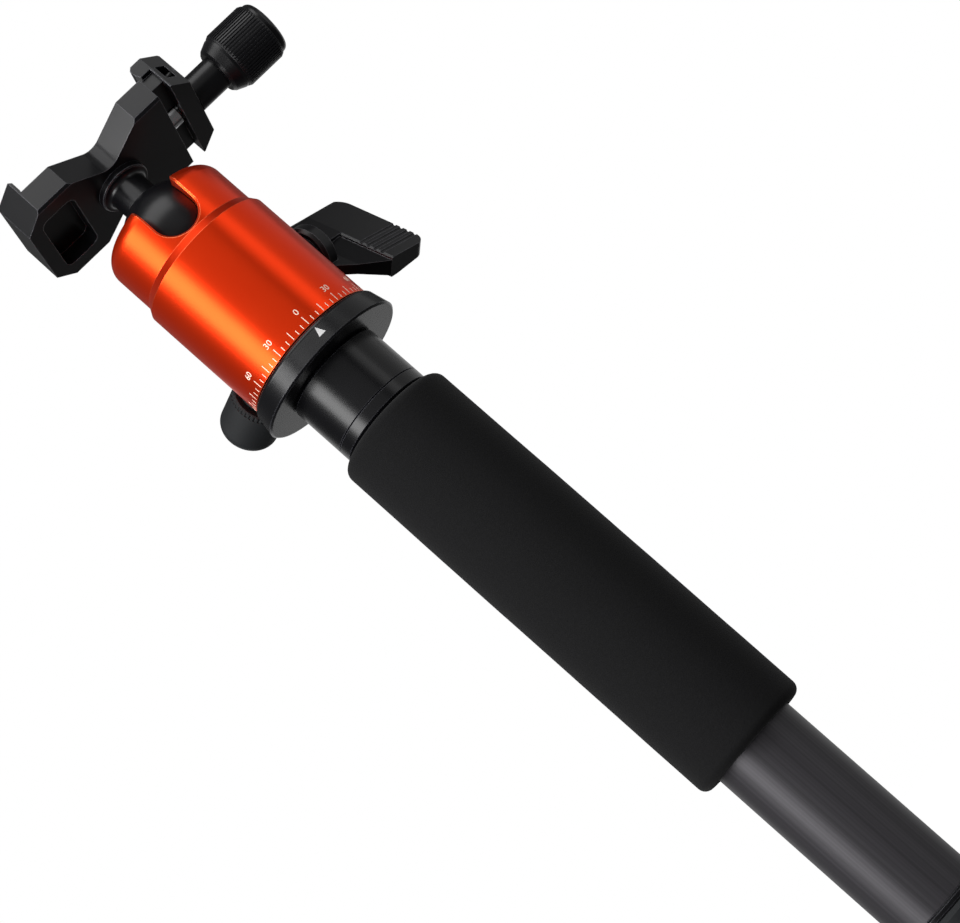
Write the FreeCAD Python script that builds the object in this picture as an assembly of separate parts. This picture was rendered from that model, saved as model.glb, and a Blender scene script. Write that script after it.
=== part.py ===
import FreeCAD, Part
import math
import os

# Travel tripod leg used as a monopod, with a ball head screwed on its top.
# Millimetres. The rubber foot stands on z = 0, +Z runs up the leg, -Y is the head's front (its zero mark)
# and +X is the side with the clamp's knob.
Vector = FreeCAD.Vector
X_AXIS = Vector(1, 0, 0)
Y_AXIS = Vector(0, 1, 0)
Z_AXIS = Vector(0, 0, 1)
ORIGIN = Vector(0, 0, 0)

# Clearances between pieces
RUNNING_FIT = 0.06          # radial, a shaft in its bearing or a screw in its thread
SLIDING_FIT = 0.1           # radial, a tube end guided in the next tube
LOOSE_GAP = 0.3             # between curved faces that pass each other
SOFT_GAP = 0.3              # round rubber and foam
THREAD_FIT = 0.08           # radial, a fixed screw in its thread
OVERCUT = 1.0               # how far a cutting shape runs past the face that it opens

# Leg sections, from the top down
TUBE_RADII = [12.5, 11.0, 9.5, 8.0, 6.5]
TUBE_WALL = 1.0
SECTION_COUNT = len(TUBE_RADII)
LOCK_COUNT = SECTION_COUNT - 1
TUBE_TOP_STEP = 1.0         # between a guide bush and the spigot of the bush above it
TOP_SPACE = 6.0             # between the second section's bush and the top cap's spigot

# Twist locks
LOCK_HEIGHT = 26.1
LOCK_GAP = 2.4              # between two locks with the leg folded
LOCK_WALL = 3.4             # the lock's outside over the tube that it closes
LOCK_LIP = 2.2              # thickness of the lock's lower end
LOCK_BEVEL = 1.2
SLEEVE_WALL = 1.5           # threaded sleeve on the tube's end
SLEEVE_SHOULDER = 1.6       # height of the sleeve's rim above the lock
SLEEVE_RIM_GAP = 0.4
SLEEVE_RIM_INSET = 1.0      # the rim is this much smaller than the lock
SLEEVE_BEVEL = 0.5
COLLET_HEIGHT = 7.0
COLLET_TIP = 1.0            # its thickness at the lower end
COLLET_TAPER = 3.0          # height of its tapered end
COLLET_SLIT = 1.4
GRIP_RING_HEIGHT = 16.0     # ribbed rubber ring round the lock
GRIP_RING_WALL = 1.0
GRIP_RING_PROUD = 0.2
GRIP_RIB_DEPTH = 0.6
GRIP_RIB_WIDTH = 1.8
GRIP_RIB_END = 1.0          # plain rim above and below the ribs
GRIP_RIB_COUNT = 20
BUSH_HEIGHT = 8.0
BUSH_WALL = 1.4
BUSH_SPIGOT = 3.0
BUSH_BEVEL = 0.5

# Foot
FOOT_HEIGHT = 24.0
FOOT_RADIUS = 11.0
FOOT_TOP_RADIUS = 9.6
FOOT_ROUNDING = 3.0
FOOT_TOP_BEVEL = 0.8
FOOT_GROOVES = 3
FOOT_GROOVE_START = 8.0
FOOT_GROOVE_PITCH = 3.5
FOOT_GROOVE_WIDTH = 1.2
FOOT_GROOVE_DEPTH = 1.1
FOOT_GAP = 2.4              # tube seen between the foot and the last lock
FOOT_FLOOR = 7.0            # rubber under the plug
FOOT_PLUG_WALL = 2.2
FOOT_PLUG_FLANGE = 1.5
FOOT_PLUG_FLOOR = 5.0
FOOT_PLUG_DROP = 2.0        # the plug ends this far below the foot's top

# Upper leg
BARE_TUBE = 59.7            # first section seen between its lock and the foam
FOAM_LENGTH = 120.2
FOAM_RADIUS = 17.5
FOAM_ROUNDING = 2.5
COLLAR_HEIGHT = 3.9
COLLAR_RADIUS = 14.1
COLLAR_BEVEL = 0.8
CAP_SPIGOT = 18.0           # the collar's spigot inside the first tube
CAP_WALL = 3.0
CAP_RELIEF = 2.0            # from the thread's end down to the hollow under it
CAP_THREAD_RADIUS = 4.0     # M8 thread between the neck and the collar
CAP_THREAD_DEPTH = 14.0
NECK_HEIGHT = 15.7
NECK_BEVEL = 0.6
SEAM_GROOVE = 0.35          # fine groove where the neck meets the collar
STUD_RADIUS = 4.76          # 3/8 inch tripod thread
STUD_UP = 12.0
STUD_DOWN = 7.0
STUD_BEVEL = 0.8

# Base of the head
FLANGE_HEIGHT = 6.8
FLANGE_MARGIN = 1.1         # the flange's top is this much wider than the housing
FLANGE_FLARE = 1.0          # and its foot this much wider than its top
FLANGE_TOP_ROUNDING = 1.4
FLANGE_LOW_BEVEL = 0.5
SPINDLE_RADIUS = 11.0
SPINDLE_HEIGHT = 13.2
SPINDLE_THREAD_ROOM = 1.0
BEARING_ROOM = 1.2          # radial, between the spindle and the slip ring
BEARING_INSET = 2.4         # the slip ring is this much smaller than the housing
BEARING_HEIGHT = 1.3
PAN_GAP = 0.3               # between the flange and the housing's edge
WASHER_LAP = 2.6            # the washer is this much wider than the spindle
WASHER_HEIGHT = 1.4
WASHER_SCREW_RADIUS = 2.5   # M5
WASHER_SCREW_HEAD = 4.4
WASHER_SCREW_DEPTH = 6.0
SCREW_END_ROOM = 1.0
COUNTERSINK_GAP = 0.1       # radial, each side of a countersunk head
HEX_ACROSS = 1.6            # inscribed radius of a hexagon socket

# Housing
HOUSING_HEIGHT = 55.0
HOUSING_RADIUS = 20.4
HOUSING_UPPER_RADIUS = 19.0
HOUSING_STEP = 36.8         # height where the step's bevel starts
HOUSING_STEP_BEVEL = 2.4
SHOULDER_HEIGHT = 4.2       # rounded shoulder under the top edge
SHOULDER_RADIUS = 16.0
SHOULDER_BULGE = 0.8
BORE_ROOM = 1.2             # radial, between the ball and the housing's bore
WEB_PLAY = 0.2              # between the web that turns on the spindle and the washer over it
BALL_RADIUS = 15.0
BALL_SINK = 8.7             # ball's centre under the housing's top
BALL_GAP = 0.25
SEAT_DROP = 3.4             # the housing's own ball seat starts this far below the centre
MOUTH_RADIUS = 12.6         # opening over the ball
NOTCH_WIDTH = 12.6
NOTCH_BEVEL = 0.55
NOTCH_TOP_ROUNDING = 1.5
HOUSING_LIP_BEVEL = 0.5

# Seat and lock inside the housing
SEAT_GAP = 0.2
SEAT_RISE = 6.5             # top of the lower seat below the ball's centre
SEAT_FLOOR = 2.2
SEAT_HOLE = 5.0
THRUST_GAP = 0.4

# Lock lever
LEVER_AZIMUTH = 33.0
ROOM_OVER_SCREW = 1.9       # from the lock screw up to the lower seat, in this proportion to
ROOM_UNDER_SCREW = 4.7      # the room from the screw down to the washer
LEVER_LEAN = 20.0           # the wing's lower end leans to the front
LOCK_SCREW_RADIUS = 4.0
LOCK_SCREW_TIP = 1.5
LOCK_SCREW_BEVEL = 0.8
HUB_RADIUS = 8.2
HUB_STAND_OFF = 3.0         # from the housing to the hub
HUB_LENGTH = 4.6
SPACER_RADIUS = 6.5
SPACER_GAP = 0.2
SPACER_SET = 2.0            # the spacer's blank starts this far inside the housing's round
WING_TOP = 10.2             # heights from the lever's axis
WING_TIP = 19.5
WING_INNER_DROP = 8.8
WING_INNER = 0.6            # distances from the hub's inner face
WING_WAIST = 5.6
WING_TIP_INNER = 12.1
WING_RIDGE = 12.8
WING_OUT = 27.4
WING_HALF = 3.2             # half thickness at the ridge
WING_EDGE_HALF = 1.9        # half thickness at the outer edge
WING_WAIST_HALF = 1.5       # half thickness in the scoop between hub and ridge
SCOOP_TOP = 2.2             # the scoop starts this far under the lever's axis
RIDGE_BEVEL_RUN = 0.55      # narrow bevel along the ridge, then a steep step down to the scoop
RIDGE_BEVEL_DROP = 0.32
RIDGE_STEP_RUN = 0.2
RIDGE_STEP_DROP = 0.5
WING_RISE = 0.9             # the top edge climbs this much to the hub
WING_OUT_ROUNDING = 4.5
WING_TIP_CORNER = 3.8
WING_TOP_ROUNDING = 2.4
WING_TIP_ROUNDING = 1.2
LEVER_EDGE = 0.8
GRIP_GROOVES = 4
GRIP_GROOVE_PITCH = 2.25
GRIP_GROOVE_START = 9.0
GRIP_GROOVE_RADIUS = 0.55
GRIP_GROOVE_BACK = 0.6      # the grooves start this far inside the ridge
GRIP_GROOVE_PROUD = 0.1     # their axis lies this far outside the face
SCREW_IN_HUB = 4.0

# Pan lock
PAN_AZIMUTH = 123.0
PAN_HEIGHT = 7.3
PAN_SCREW_RADIUS = 2.5
PAN_KNOB_RADIUS = 8.0
PAN_KNOB_LENGTH = 15.5
PAN_KNOB_ROUNDING = 4.2
PAN_KNOB_EDGE = 0.5
PAN_TEETH = 40              # fine teeth round the knob's inner rim
PAN_TOOTH_RADIUS = 0.42
PAN_TOOTH_PROUD = 0.15
PAN_TOOTH_LENGTH = 1.7
PAN_BOSS_RADIUS = 6.6
PAN_BOSS_LENGTH = 3.2
PAN_NECK_RADIUS = 5.0
PAN_NECK_LENGTH = 1.0
PAN_SCREW_IN_KNOB = 6.0
BRAKE_PLAY = 0.2            # radial, the pad is this much smaller than its screw
BRAKE_LENGTH = 3.2
BRAKE_GAP = 0.3
BRAKE_SCREW_GAP = 0.2

# Ball stem
STEM_RADIUS = 5.5
STEM_LENGTH = 23.6          # from the ball's centre to the clamp's underside
STEM_FLANGE_REACH = 2.0     # from the stem's side to the flange's rim
STEM_FLANGE_HEIGHT = 1.9
STEM_FILLET = 1.4
STEM_BEVEL = 0.3
STEM_FLAT_MARGIN = 0.7      # the flat on the ball is this much wider than the stem
SPIGOT_RADIUS = 3.0
SPIGOT_LENGTH = 9.0
TENON_RADIUS = 5.0
TENON_HEIGHT = 1.6
TENON_FLAT = 3.8            # half width across the tenon's two flats
HEAD_LEAN = 9.9             # the ball leans back at rest
LEAN_AZIMUTH = 79.5
CLAMP_TURN = -1.3           # the clamp is turned a little about its stem

# Clamp, in its own frame: X to the knob, Y along the groove, underside at z = 0
PLATFORM_HEIGHT = 8.0
LIP_HEIGHT = 12.6
GROOVE_LENGTH = 35.2
CLAMP_LEFT = 28.0
LIP_INNER = 21.2
LIP_UNDERCUT = 0.8
LIP_UNDERCUT_HEIGHT = 1.6
LIP_BEVEL = 0.9
LIP_OUTER_BEVEL = 0.4
CORNER_CUT = 6.0
BODY_RIGHT = 20.3
WAIST_HALF_LENGTH = 12.0
WAIST_HALF_WIDTH = 9.7
WAIST_ROUNDING = 4.5
CLAMP_EDGE_BEVEL = 0.8
TONGUE_INSET = 1.3          # the tongue is this much shorter than the groove at each end
TONGUE_LENGTH = 4.2         # the tongue that guides the jaw, from the body's end
TONGUE_BOTTOM = 3.8
TONGUE_NOTCH = 4.2
POCKET_LEFT = 23.8
POCKET_RIGHT = 12.8
POCKET_HALF_WIDTH = 12.0
POCKET_DEPTH = 4.6
POCKET_ROUNDING = 2.5
JAW_LIP_START = 0.2         # open as photographed, from the body's end to the moving jaw's lip
JAW_TONGUE_LAP = 0.1        # and how far the tongue reaches into the jaw's block
JAW_LENGTH = 5.3            # the jaw's block along X
JAW_CORNER_CUT = 4.9
JAW_WALL = 1.5
JAW_BOTTOM = 0.3
JAW_LIP_GAP = 0.25
JAW_CLOSE = 3.6             # travel from the photographed opening to the closed clamp
CLAMP_SCREW_HEIGHT = 4.6
CLAMP_SCREW_RADIUS = 2.1
CLAMP_SCREW_REACH = 5.8      # from the bush's inner end to the screw's tip
BUSH_SPIGOT_RADIUS = 2.9    # steel bush that the screw turns in
BUSH_SPIGOT_LENGTH = 7.3
BUSH_HEAD_RADIUS = 3.3
BUSH_HEAD_LENGTH = 3.7
BUSH_HEAD_BEVEL = 0.3
CLAMP_SCREW_BEVEL = 0.5
KNOB_NECK_RADIUS = 4.85
KNOB_NECK_LENGTH = 9.3
KNOB_CONE_RADIUS = 6.9
KNOB_CONE_LENGTH = 3.2
KNOB_CONE_END_RADIUS = 8.0
KNOB_STEP = 0.8             # plain step between the cone and the ribbed grip
KNOB_GRIP_LENGTH = 12.4
KNOB_BODY_RADIUS = 8.65
KNOB_RIBS = 60
KNOB_RIB_DEPTH = 0.3
KNOB_SLOT_WIDTH = 0.44
KNOB_RIM_BEVEL = 0.4
KNOB_RIM_HEIGHT = 0.8
KNOB_CONE_BEVEL = 0.7
KNOB_CAP_RADIUS = 7.9
KNOB_CAP_HEIGHT = 2.2
KNOB_CAP_ROUNDING = 1.6
KNOB_CAP_DISH = 0.6
KNOB_CAP_SLOPE = 0.6
KNOB_JAW_GAP = 0.2
PIN_RADIUS = 1.2
PIN_OFFSET = 12.0
PIN_HEIGHT = 6.1
PIN_REACH = 7.8             # from the body's end to the pins' inner ends
PIN_COVER = 0.4             # jaw left over the pins' ends
CLAMP_BOLT_RADIUS = 3.0     # M6
CLAMP_BOLT_HEAD = 5.2
BOLT_HEAD_HEIGHT = 2.4
BOLT_HEAD_SUNK = 0.1
BOLT_HEX_ACROSS = 2.0
BOLT_END_ROOM = 1.0
CLAMP_BOLT_LENGTH = 12.0

# Heights worked out from the sizes above
foot_top = FOOT_HEIGHT
lock_pitch = LOCK_HEIGHT + LOCK_GAP
lock_bottoms = [foot_top + FOOT_GAP + (LOCK_COUNT - 1 - i) * lock_pitch for i in range(LOCK_COUNT)]
foam_bottom = lock_bottoms[0] + LOCK_HEIGHT + BARE_TUBE
foam_top = foam_bottom + FOAM_LENGTH
collar_top = foam_top + COLLAR_HEIGHT
flange_bottom = collar_top + NECK_HEIGHT
flange_top = flange_bottom + FLANGE_HEIGHT
housing_bottom = flange_top + PAN_GAP
housing_top = housing_bottom + HOUSING_HEIGHT
ball_z = housing_top - BALL_SINK
spindle_top = flange_top + SPINDLE_HEIGHT
hub_start = HOUSING_RADIUS + HUB_STAND_OFF
pan_boss_start = HOUSING_RADIUS + LOOSE_GAP
pan_knob_start = pan_boss_start + PAN_BOSS_LENGTH + PAN_NECK_LENGTH
flange_top_radius = HOUSING_RADIUS + FLANGE_MARGIN
flange_low_radius = flange_top_radius + FLANGE_FLARE
bearing_inner = SPINDLE_RADIUS + BEARING_ROOM
bearing_outer = HOUSING_RADIUS - BEARING_INSET
washer_radius = SPINDLE_RADIUS + WASHER_LAP
web_top = spindle_top - WEB_PLAY
housing_bore = BALL_RADIUS + BORE_ROOM
seat_bottom = ball_z - BALL_RADIUS - SEAT_GAP - SEAT_FLOOR
brake_radius = PAN_SCREW_RADIUS - BRAKE_PLAY

# Lock screw's axis over the housing's lower edge
washer_top = spindle_top + WASHER_HEIGHT
free_room = seat_bottom - washer_top - 2 * LOCK_SCREW_RADIUS
over_share = ROOM_OVER_SCREW / (ROOM_OVER_SCREW + ROOM_UNDER_SCREW)
lever_height = seat_bottom - over_share * free_room - LOCK_SCREW_RADIUS - housing_bottom

# Ball and stem, from the ball's centre, and clamp, along X in its own frame
stem_flat = math.sqrt(BALL_RADIUS ** 2 - (STEM_RADIUS + STEM_FLAT_MARGIN) ** 2)
stem_flange_radius = STEM_RADIUS + STEM_FLANGE_REACH
half_groove = GROOVE_LENGTH / 2
tongue_half = half_groove - TONGUE_INSET
tongue_end = BODY_RIGHT + TONGUE_LENGTH
bush_start = BODY_RIGHT - BUSH_SPIGOT_LENGTH
bush_head_end = BODY_RIGHT + BUSH_HEAD_LENGTH
screw_tip = bush_start - CLAMP_SCREW_REACH
pin_start = BODY_RIGHT - PIN_REACH
jaw_inner = BODY_RIGHT + JAW_LIP_START
jaw_block = tongue_end - JAW_TONGUE_LAP
jaw_right = jaw_block + JAW_LENGTH
knob_start = jaw_right + KNOB_JAW_GAP
neck_end = knob_start + KNOB_NECK_LENGTH
cone_end = neck_end + KNOB_CONE_LENGTH
grip_start = cone_end + KNOB_STEP
grip_end = grip_start + KNOB_GRIP_LENGTH
cap_end = grip_end + KNOB_CAP_HEIGHT
tube_bores = [radius - TUBE_WALL for radius in TUBE_RADII]
nodes = {}


def cylinder(radius, low, high):
    return Part.makeCylinder(radius, high - low, Vector(0, 0, low), Z_AXIS)


def ring(outer, inner, low, high):
    return cylinder(outer, low, high).cut(cylinder(inner, low - OVERCUT, high + OVERCUT))


def box(low, high):
    size = Vector(*high).sub(Vector(*low))
    return Part.makeBox(size.x, size.y, size.z, Vector(*low))


def bend(centre, radius, start, end):
    """An outline's rounded corner: its first point, then the arc's middle and end. Angles in degrees."""
    first, middle, last = [
        (centre[0] + radius * math.cos(math.radians(a)), centre[1] + radius * math.sin(math.radians(a)))
        for a in (start, (start + end) / 2, end)
    ]
    return [first, (middle, last)]


def outline_face(outline, placed):
    """Plane face in a closed outline of points and arcs, set in space by a function of a point."""
    edges = []
    here = placed(outline[0])
    for item in outline[1:] + [outline[0]]:
        arc = isinstance(item[0], tuple)
        end = placed(item[1] if arc else item)
        if arc:
            edges.append(Part.Arc(here, placed(item[0]), end).toShape())
        elif end.distanceToPoint(here) > 1e-6:
            edges.append(Part.makeLine(here, end))
        here = end
    return Part.Face(Part.Wire(edges))


def turned(outline):
    """Solid turned about Z from a closed outline of (radius, height) points and arcs."""
    return outline_face(outline, lambda p: Vector(p[0], 0, p[1])).revolve(ORIGIN, Z_AXIS, 360)


def plate(outline, low, high):
    """Straight plate of a closed (x, y) outline."""
    return outline_face(outline, lambda p: Vector(p[0], p[1], low)).extrude(Vector(0, 0, high - low))


def hexagon(across, low, high):
    corner = across / math.cos(math.radians(30))
    angles = [math.radians(60 * i) for i in range(6)]
    return plate([(corner * math.cos(a), corner * math.sin(a)) for a in angles], low, high)


def polar(shape, count):
    """Copies of a shape spread evenly about Z."""
    copies = []
    for i in range(count):
        copy = shape.copy()
        copy.rotate(ORIGIN, Z_AXIS, 360.0 * i / count)
        copies.append(copy)
    return copies


def lying(shape):
    """Turns what was made along Z so that it lies along X."""
    shape.rotate(ORIGIN, Y_AXIS, 90)
    return shape


def bevel_ends(shape, size, heights):
    """Bevels the round edges that lie at the given heights."""
    edges = [
        edge for edge in shape.Edges
        if any(abs(edge.BoundBox.ZMin - z) < 1e-4 and abs(edge.BoundBox.ZMax - z) < 1e-4 for z in heights)
    ]
    return shape.makeChamfer(size, edges)


def single(shape):
    """The one solid of a cut or fused shape."""
    clean = shape.removeSplitter()
    return clean.Solids[0] if len(clean.Solids) == 1 else clean


# Foot: a moulded rubber foot over an aluminium plug in the last tube
def rubber_foot():
    r, rounding, bevel = FOOT_RADIUS, FOOT_ROUNDING, FOOT_TOP_BEVEL
    outline = [(0, 0)] + bend((r - rounding, rounding), rounding, -90, 0)
    outline += [(FOOT_TOP_RADIUS, foot_top - bevel), (FOOT_TOP_RADIUS - bevel, foot_top), (0, foot_top)]
    cutters = [cylinder(TUBE_RADII[-1] + SOFT_GAP, FOOT_FLOOR, foot_top + OVERCUT)]
    for i in range(FOOT_GROOVES):
        low = FOOT_GROOVE_START + i * FOOT_GROOVE_PITCH
        cutters.append(ring(r + OVERCUT, r - FOOT_GROOVE_DEPTH, low, low + FOOT_GROOVE_WIDTH))
    return turned(outline).cut(Part.makeCompound(cutters))


def foot_plug():
    bore = tube_bores[-1]
    head = cylinder(TUBE_RADII[-1], FOOT_FLOOR, FOOT_FLOOR + FOOT_PLUG_FLANGE)
    body = cylinder(bore - THREAD_FIT, FOOT_FLOOR + FOOT_PLUG_FLANGE, foot_top - FOOT_PLUG_DROP)
    hollow = cylinder(bore - FOOT_PLUG_WALL, FOOT_FLOOR + FOOT_PLUG_FLOOR, foot_top)
    return head.fuse(body).cut(hollow)


# Tubes: each section ends below in its lock's sleeve and above in a plastic guide bush
def tube_bottom(section):
    if section == SECTION_COUNT - 1:
        return FOOT_FLOOR + FOOT_PLUG_FLANGE
    return lock_bottoms[section] + LOCK_LIP + COLLET_HEIGHT + LOOSE_GAP


def tube_top(section):
    if section == 0:
        return foam_top
    step = BUSH_SPIGOT + BUSH_HEIGHT + TUBE_TOP_STEP
    return foam_top - CAP_SPIGOT - TOP_SPACE - BUSH_HEIGHT - (section - 1) * step


def tube(section):
    return ring(TUBE_RADII[section], tube_bores[section], tube_bottom(section), tube_top(section))


def guide_bush(section):
    """Bush on the upper end of a section, guided in the bore of the section round it."""
    top = tube_top(section)
    bush_top = top + BUSH_HEIGHT
    guide = cylinder(tube_bores[section - 1] - SLIDING_FIT, top, bush_top)
    spigot = cylinder(tube_bores[section] - THREAD_FIT, top - BUSH_SPIGOT, top)
    hole = cylinder(tube_bores[section] - BUSH_WALL, top - BUSH_SPIGOT - OVERCUT, bush_top + OVERCUT)
    return bevel_ends(guide, BUSH_BEVEL, [bush_top]).fuse(spigot).cut(hole)


# Twist locks: a sleeve on the tube, a split collet under it and a screwed lock with a rubber grip ring
def lock_outside(lock):
    return TUBE_RADII[lock] + LOCK_WALL


def thread_sleeve(lock):
    low = tube_bottom(lock)
    rim_low = lock_bottoms[lock] + LOCK_HEIGHT + SLEEVE_RIM_GAP
    rim_high = rim_low + SLEEVE_SHOULDER
    radius = TUBE_RADII[lock]
    body = ring(radius + SLEEVE_WALL, radius + THREAD_FIT, low, rim_low)
    rim = ring(lock_outside(lock) - SLEEVE_RIM_INSET, radius + THREAD_FIT, rim_low, rim_high)
    return single(body.fuse(bevel_ends(rim, SLEEVE_BEVEL, [rim_high])))


def collet(lock):
    low = lock_bottoms[lock] + LOCK_LIP
    high = low + COLLET_HEIGHT
    inner = TUBE_RADII[lock + 1] + LOOSE_GAP
    outer = TUBE_RADII[lock] + SLEEVE_WALL
    outline = [
        (inner, low), (inner + COLLET_TIP, low), (outer, low + COLLET_TAPER), (outer, high), (inner, high)
    ]
    half_slit = COLLET_SLIT / 2
    slit = box((0, -half_slit, low - OVERCUT), (outer + OVERCUT, half_slit, high + OVERCUT))
    return turned(outline).cut(slit)


def twist_lock(lock):
    low = lock_bottoms[lock]
    high = low + LOCK_HEIGHT
    outside, bevel = lock_outside(lock), LOCK_BEVEL
    bore = TUBE_RADII[lock] + SLEEVE_WALL + LOOSE_GAP
    lip_bore = TUBE_RADII[lock + 1] + LOOSE_GAP
    seat = low + LOCK_LIP
    outline = [
        (lip_bore, low), (outside - bevel, low), (outside, low + bevel), (outside, high - bevel),
        (outside - bevel, high), (bore, high), (bore, seat + COLLET_TAPER),
        (lip_bore + COLLET_TIP + LOOSE_GAP, seat - LOOSE_GAP), (lip_bore, seat - LOOSE_GAP)
    ]
    ring_low = low + (LOCK_HEIGHT - GRIP_RING_HEIGHT) / 2
    groove = ring(outside + OVERCUT, outside - GRIP_RING_WALL, ring_low, ring_low + GRIP_RING_HEIGHT)
    return turned(outline).cut(groove)


def grip_ring(lock):
    """Rubber ring in the lock's groove, with raised ribs along the leg."""
    inside = lock_outside(lock) - GRIP_RING_WALL
    outside = lock_outside(lock) + GRIP_RING_PROUD
    low = lock_bottoms[lock] + (LOCK_HEIGHT - GRIP_RING_HEIGHT) / 2
    high = low + GRIP_RING_HEIGHT
    base = ring(outside, inside, low, high)
    half = GRIP_RIB_WIDTH / 2
    middle = (inside + outside) / 2
    rib = box((middle, -half, low + GRIP_RIB_END), (outside + GRIP_RIB_DEPTH, half, high - GRIP_RIB_END))
    return single(base.fuse(polar(rib, GRIP_RIB_COUNT)))


# Upper leg: foam grip, top collar, neck and stud
def foam_grip():
    sleeve = ring(FOAM_RADIUS, TUBE_RADII[0] + SOFT_GAP, foam_bottom, foam_top - SOFT_GAP)
    edges = [
        edge for edge in sleeve.Edges
        if abs(edge.BoundBox.ZLength) < 1e-4 and edge.BoundBox.XMax > FOAM_RADIUS - 0.1
    ]
    return sleeve.makeFillet(FOAM_ROUNDING, edges)


def leg_collar():
    flange = bevel_ends(cylinder(COLLAR_RADIUS, foam_top, collar_top), COLLAR_BEVEL, [foam_top])
    spigot = cylinder(tube_bores[0] - THREAD_FIT, foam_top - CAP_SPIGOT, foam_top)
    thread_end = collar_top - CAP_THREAD_DEPTH
    thread = cylinder(CAP_THREAD_RADIUS + THREAD_FIT, thread_end - SCREW_END_ROOM, collar_top + OVERCUT)
    relief = cylinder(tube_bores[0] - CAP_WALL, foam_top - CAP_SPIGOT - OVERCUT, thread_end - CAP_RELIEF)
    return flange.fuse(spigot).cut(thread).cut(relief)


def neck_adapter():
    r = COLLAR_RADIUS
    outline = [
        (0, collar_top), (r - SEAM_GROOVE, collar_top), (r, collar_top + SEAM_GROOVE),
        (r, flange_bottom - NECK_BEVEL), (r - NECK_BEVEL, flange_bottom), (0, flange_bottom)
    ]
    thread = cylinder(CAP_THREAD_RADIUS, collar_top - CAP_THREAD_DEPTH, collar_top)
    stud_hole = cylinder(STUD_RADIUS + THREAD_FIT, flange_bottom - STUD_DOWN, flange_bottom + OVERCUT)
    return turned(outline).fuse(thread).cut(stud_hole)


def mounting_stud():
    stud = cylinder(STUD_RADIUS, flange_bottom - STUD_DOWN, flange_bottom + STUD_UP)
    return bevel_ends(stud, STUD_BEVEL, [flange_bottom + STUD_UP])


# Base of the head: flared flange with the spindle that the housing turns on
def base_flange():
    bevel, rounding = FLANGE_LOW_BEVEL, FLANGE_TOP_ROUNDING
    outline = [
        (0, flange_bottom), (flange_low_radius - bevel, flange_bottom),
        (flange_low_radius, flange_bottom + bevel)
    ]
    outline += bend((flange_top_radius - rounding, flange_top - rounding), rounding, 0, 90)
    outline += [(SPINDLE_RADIUS, flange_top), (SPINDLE_RADIUS, spindle_top), (0, spindle_top)]
    stud_end = flange_bottom + STUD_UP + SPINDLE_THREAD_ROOM
    thread = cylinder(STUD_RADIUS + THREAD_FIT, flange_bottom - OVERCUT, stud_end)
    screw_end = spindle_top - WASHER_SCREW_DEPTH
    screw = cylinder(WASHER_SCREW_RADIUS + THREAD_FIT, screw_end, spindle_top + OVERCUT)
    return turned(outline).cut(thread).cut(screw)


def pan_bearing():
    return ring(bearing_outer, bearing_inner, flange_top, flange_top + BEARING_HEIGHT)


def retaining_washer():
    washer = cylinder(washer_radius, spindle_top, washer_top)
    hole = Part.makeCone(WASHER_SCREW_RADIUS + COUNTERSINK_GAP, WASHER_SCREW_HEAD + COUNTERSINK_GAP,
                         WASHER_HEIGHT, Vector(0, 0, spindle_top), Z_AXIS)
    return washer.cut(hole)


def retaining_screw():
    shank = cylinder(WASHER_SCREW_RADIUS, spindle_top - WASHER_SCREW_DEPTH + SCREW_END_ROOM, spindle_top)
    head = Part.makeCone(WASHER_SCREW_RADIUS, WASHER_SCREW_HEAD - COUNTERSINK_GAP, WASHER_HEIGHT,
                         Vector(0, 0, spindle_top), Z_AXIS)
    socket = hexagon(HEX_ACROSS, spindle_top - OVERCUT, washer_top + OVERCUT)
    return shank.fuse(head).cut(socket)


# Housing: anodised shell with the ball's seat under its lip and a U notch at the front
def radial(shape, azimuth, height):
    """Places what was made along X at an azimuth and a height over the housing's edge."""
    shape.rotate(ORIGIN, Z_AXIS, azimuth)
    shape.translate(Vector(0, 0, housing_bottom + height))
    return shape


def housing_outline():
    step = housing_bottom + HOUSING_STEP
    shoulder = housing_top - SHOULDER_HEIGHT
    swell = SHOULDER_BULGE * math.sqrt(0.5)
    middle = ((HOUSING_UPPER_RADIUS + SHOULDER_RADIUS) / 2 + swell, (shoulder + housing_top) / 2 + swell)
    return [
        (0, housing_bottom), (HOUSING_RADIUS, housing_bottom), (HOUSING_RADIUS, step),
        (HOUSING_UPPER_RADIUS, step + HOUSING_STEP_BEVEL), (HOUSING_UPPER_RADIUS, shoulder),
        (middle, (SHOULDER_RADIUS, housing_top)), (0, housing_top)
    ]


def across_front(outline):
    """Runs an (x, z) outline from the housing's axis out through its front."""
    face = outline_face(outline, lambda p: Vector(p[0], 0, p[1]))
    return face.extrude(Vector(0, -HOUSING_RADIUS - OVERCUT, 0))


def notch_cutter():
    """U shape round the ball's centre, open upwards."""
    half = NOTCH_WIDTH / 2
    over = housing_top + OVERCUT
    return across_front(bend((0, ball_z), half, 180, 360) + [(half, over), (-half, over)])


def notch_corners():
    """Rounds off the notch's two top corners."""
    wide, rounding = NOTCH_WIDTH / 2 + NOTCH_TOP_ROUNDING, NOTCH_TOP_ROUNDING
    centre_z = housing_top - rounding
    outline = bend((-wide, centre_z), rounding, 90, 0) + bend((wide, centre_z), rounding, 180, 90)
    return across_front(outline + [(wide, housing_top + OVERCUT), (-wide, housing_top + OVERCUT)])


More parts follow.
